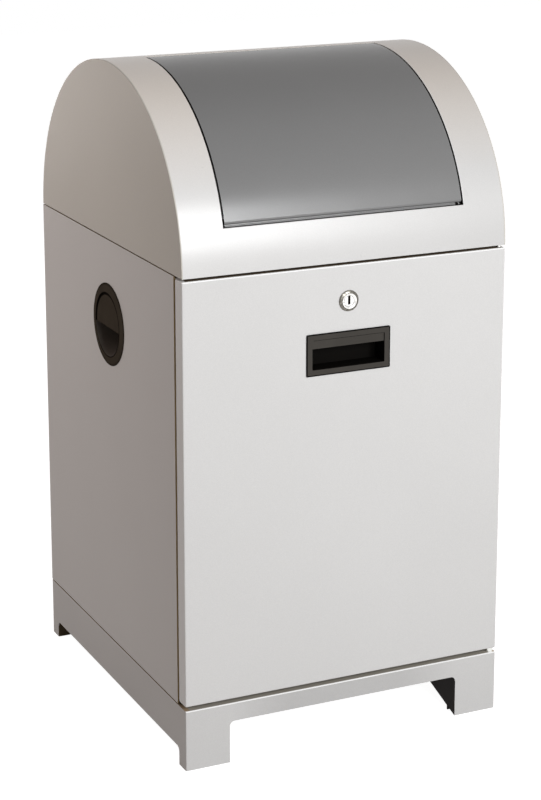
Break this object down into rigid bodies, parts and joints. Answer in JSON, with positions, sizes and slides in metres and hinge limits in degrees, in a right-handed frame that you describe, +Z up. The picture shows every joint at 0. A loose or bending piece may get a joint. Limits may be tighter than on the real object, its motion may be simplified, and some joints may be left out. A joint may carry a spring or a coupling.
{
  "type": "recycling bin",
  "caption": "Free-standing sheet-steel recycling bin with arched hood, push-in flap, lockable hinged door, round side grips, raised plinth and inner bin.",
  "frame": {"origin": "centre of the footprint on the floor", "axes": "+Z up, door and flap face -Y, +X to the right seen from the door"},
  "size_m": [0.4044, 0.447, 0.776],
  "materials": {
    "body_paint": "satin powder coat, light warm grey",
    "plinth_paint": "satin powder coat, light grey",
    "hood_paint": "satin powder coat, light warm grey",
    "door_paint": "satin powder coat, light grey",
    "inner_paint": "satin powder coat, inside of the body",
    "flap_paint": "satin powder coat, middle grey",
    "flap_rails": "satin powder coat, dark grey",
    "zinc_steel": "zinc plated",
    "spring_steel": "bright spring wire",
    "lock_chrome": "polished",
    "black_moulding": "finely textured",
    "bin_plastic": "smooth moulded",
    "rubber": "soft"
  },
  "bodies": {
    "cabinet": {"plinth_frame": "plinth_paint", "floor_panel": "inner_paint", "side_panel_left": "body_paint", "side_panel_right": "body_paint", "back_panel": "body_paint", "front_rail": "inner_paint", "front_sill": "inner_paint", "top_frame": "inner_paint", "base_screws": "zinc_steel", "door_buffers": "rubber", "hinge_pin_top": "zinc_steel", "hinge_pin_bottom": "zinc_steel", "hinge_washer": "zinc_steel", "grip_left": "black_moulding", "grip_right": "black_moulding", "hood_shell": "hood_paint", "hood_end_left": "body_paint", "hood_end_right": "body_paint", "hood_angle_left": "inner_paint", "hood_angle_right": "inner_paint", "hood_screws": "zinc_steel", "flap_bracket_left": "inner_paint", "flap_bracket_right": "inner_paint", "flap_axle": "zinc_steel", "flap_buffers": "rubber", "inner_bin": "bin_plastic", "inner_bin_rim": "bin_plastic", "bin_handle_front": "bin_plastic", "bin_handle_rear": "bin_plastic"},
    "door": {"door_panel": "door_paint", "door_rib_left": "door_paint", "door_rib_right": "door_paint", "hinge_block_top": "zinc_steel", "hinge_block_bottom": "zinc_steel", "door_pull": "black_moulding", "lock_rosette": "lock_chrome", "lock_barrel": "lock_chrome", "lock_nut": "zinc_steel"},
    "lock": {"lock_plug": "lock_chrome", "lock_cam": "zinc_steel", "cam_screw": "zinc_steel"},
    "flap": {"flap_panel": "flap_paint", "flap_end_caps": "rubber", "flap_rail_left": "flap_rails", "flap_rail_right": "flap_rails", "flap_spring_left": "spring_steel", "flap_spring_right": "spring_steel"}
  },
  "joints": [
    {"name": "door_hinge", "type": "hinge", "parent": "cabinet", "child": "door", "pos_m": [0.1945, -0.215, 0.3], "axis": [0, 0, 1], "range_deg": [0, 170]},
    {"name": "lock_turn", "type": "hinge", "parent": "door", "child": "lock", "pos_m": [0, -0.21, 0.525], "axis": [0, 1, 0], "range_deg": [0, 90]},
    {"name": "flap_hinge", "type": "hinge", "parent": "cabinet", "child": "flap", "pos_m": [0, 0.01925, 0.76504], "axis": [1, 0, 0], "range_deg": [0, 45], "stiffness_Nm_per_rad": 0.8, "springref_deg": -148.97}
  ]
}
